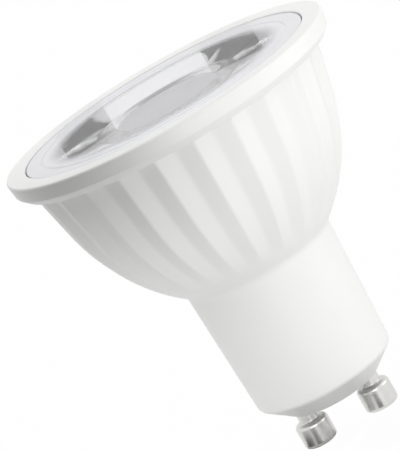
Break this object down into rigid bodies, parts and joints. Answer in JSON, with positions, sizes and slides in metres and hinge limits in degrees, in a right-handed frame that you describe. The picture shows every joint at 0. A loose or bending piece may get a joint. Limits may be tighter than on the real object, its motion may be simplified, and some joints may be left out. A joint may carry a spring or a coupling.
{
  "type": "gu10 spotlight bulb",
  "caption": "Spotlight bulb with a fluted white bowl, a clear flat-fronted lens in its front rim, a plain neck and twist-lock contact pins.",
  "frame": {"origin": "centre of the flat seat between the contact pins", "axes": "+Z along the lamp's axis and out of the lens, +X from the lamp's axis through the right contact pin"},
  "size_m": [0.05, 0.05, 0.0547],
  "materials": {
    "housing_white": "satin white moulding",
    "lens_clear": "polished clear moulding",
    "pin_metal": "nickel plate",
    "cup_metal": "polished inside",
    "pad_grey": "matt silicone",
    "led_board_white": "white solder mask on aluminium",
    "led_base_white": "fired white",
    "phosphor_yellow": "matt silicone",
    "screw_steel": "zinc plate",
    "board_green": "green solder mask",
    "case_black": "moulded epoxy",
    "fuse_body": "dipped coat",
    "core_ferrite": "sintered",
    "winding_copper": "varnished wire",
    "can_sleeve": "shrunk sleeve",
    "film_yellow": "moulded box",
    "lead_red": "insulation",
    "lead_white": "insulation"
  },
  "bodies": {
    "root": {"housing": "housing_white", "lens": "lens_clear", "heat_sink_cup": "cup_metal", "thermal_pad": "pad_grey", "led_board": "led_board_white", "led_substrate": "led_base_white", "led_phosphor": "phosphor_yellow", "board_screws": "screw_steel", "driver_board": "board_green", "fuse_resistor": "fuse_body", "bridge_rectifier": "case_black", "inductor_core": "core_ferrite", "inductor_winding": "winding_copper", "output_capacitor": "can_sleeve", "film_capacitor": "film_yellow", "input_capacitor": "can_sleeve", "driver_chip": "case_black", "freewheel_diode": "case_black", "contact_pin_left": "pin_metal", "contact_pin_right": "pin_metal", "input_lead_left": "lead_white", "input_lead_right": "lead_red", "led_lead_left": "lead_white", "led_lead_right": "lead_red"}
  },
  "joints": []
}
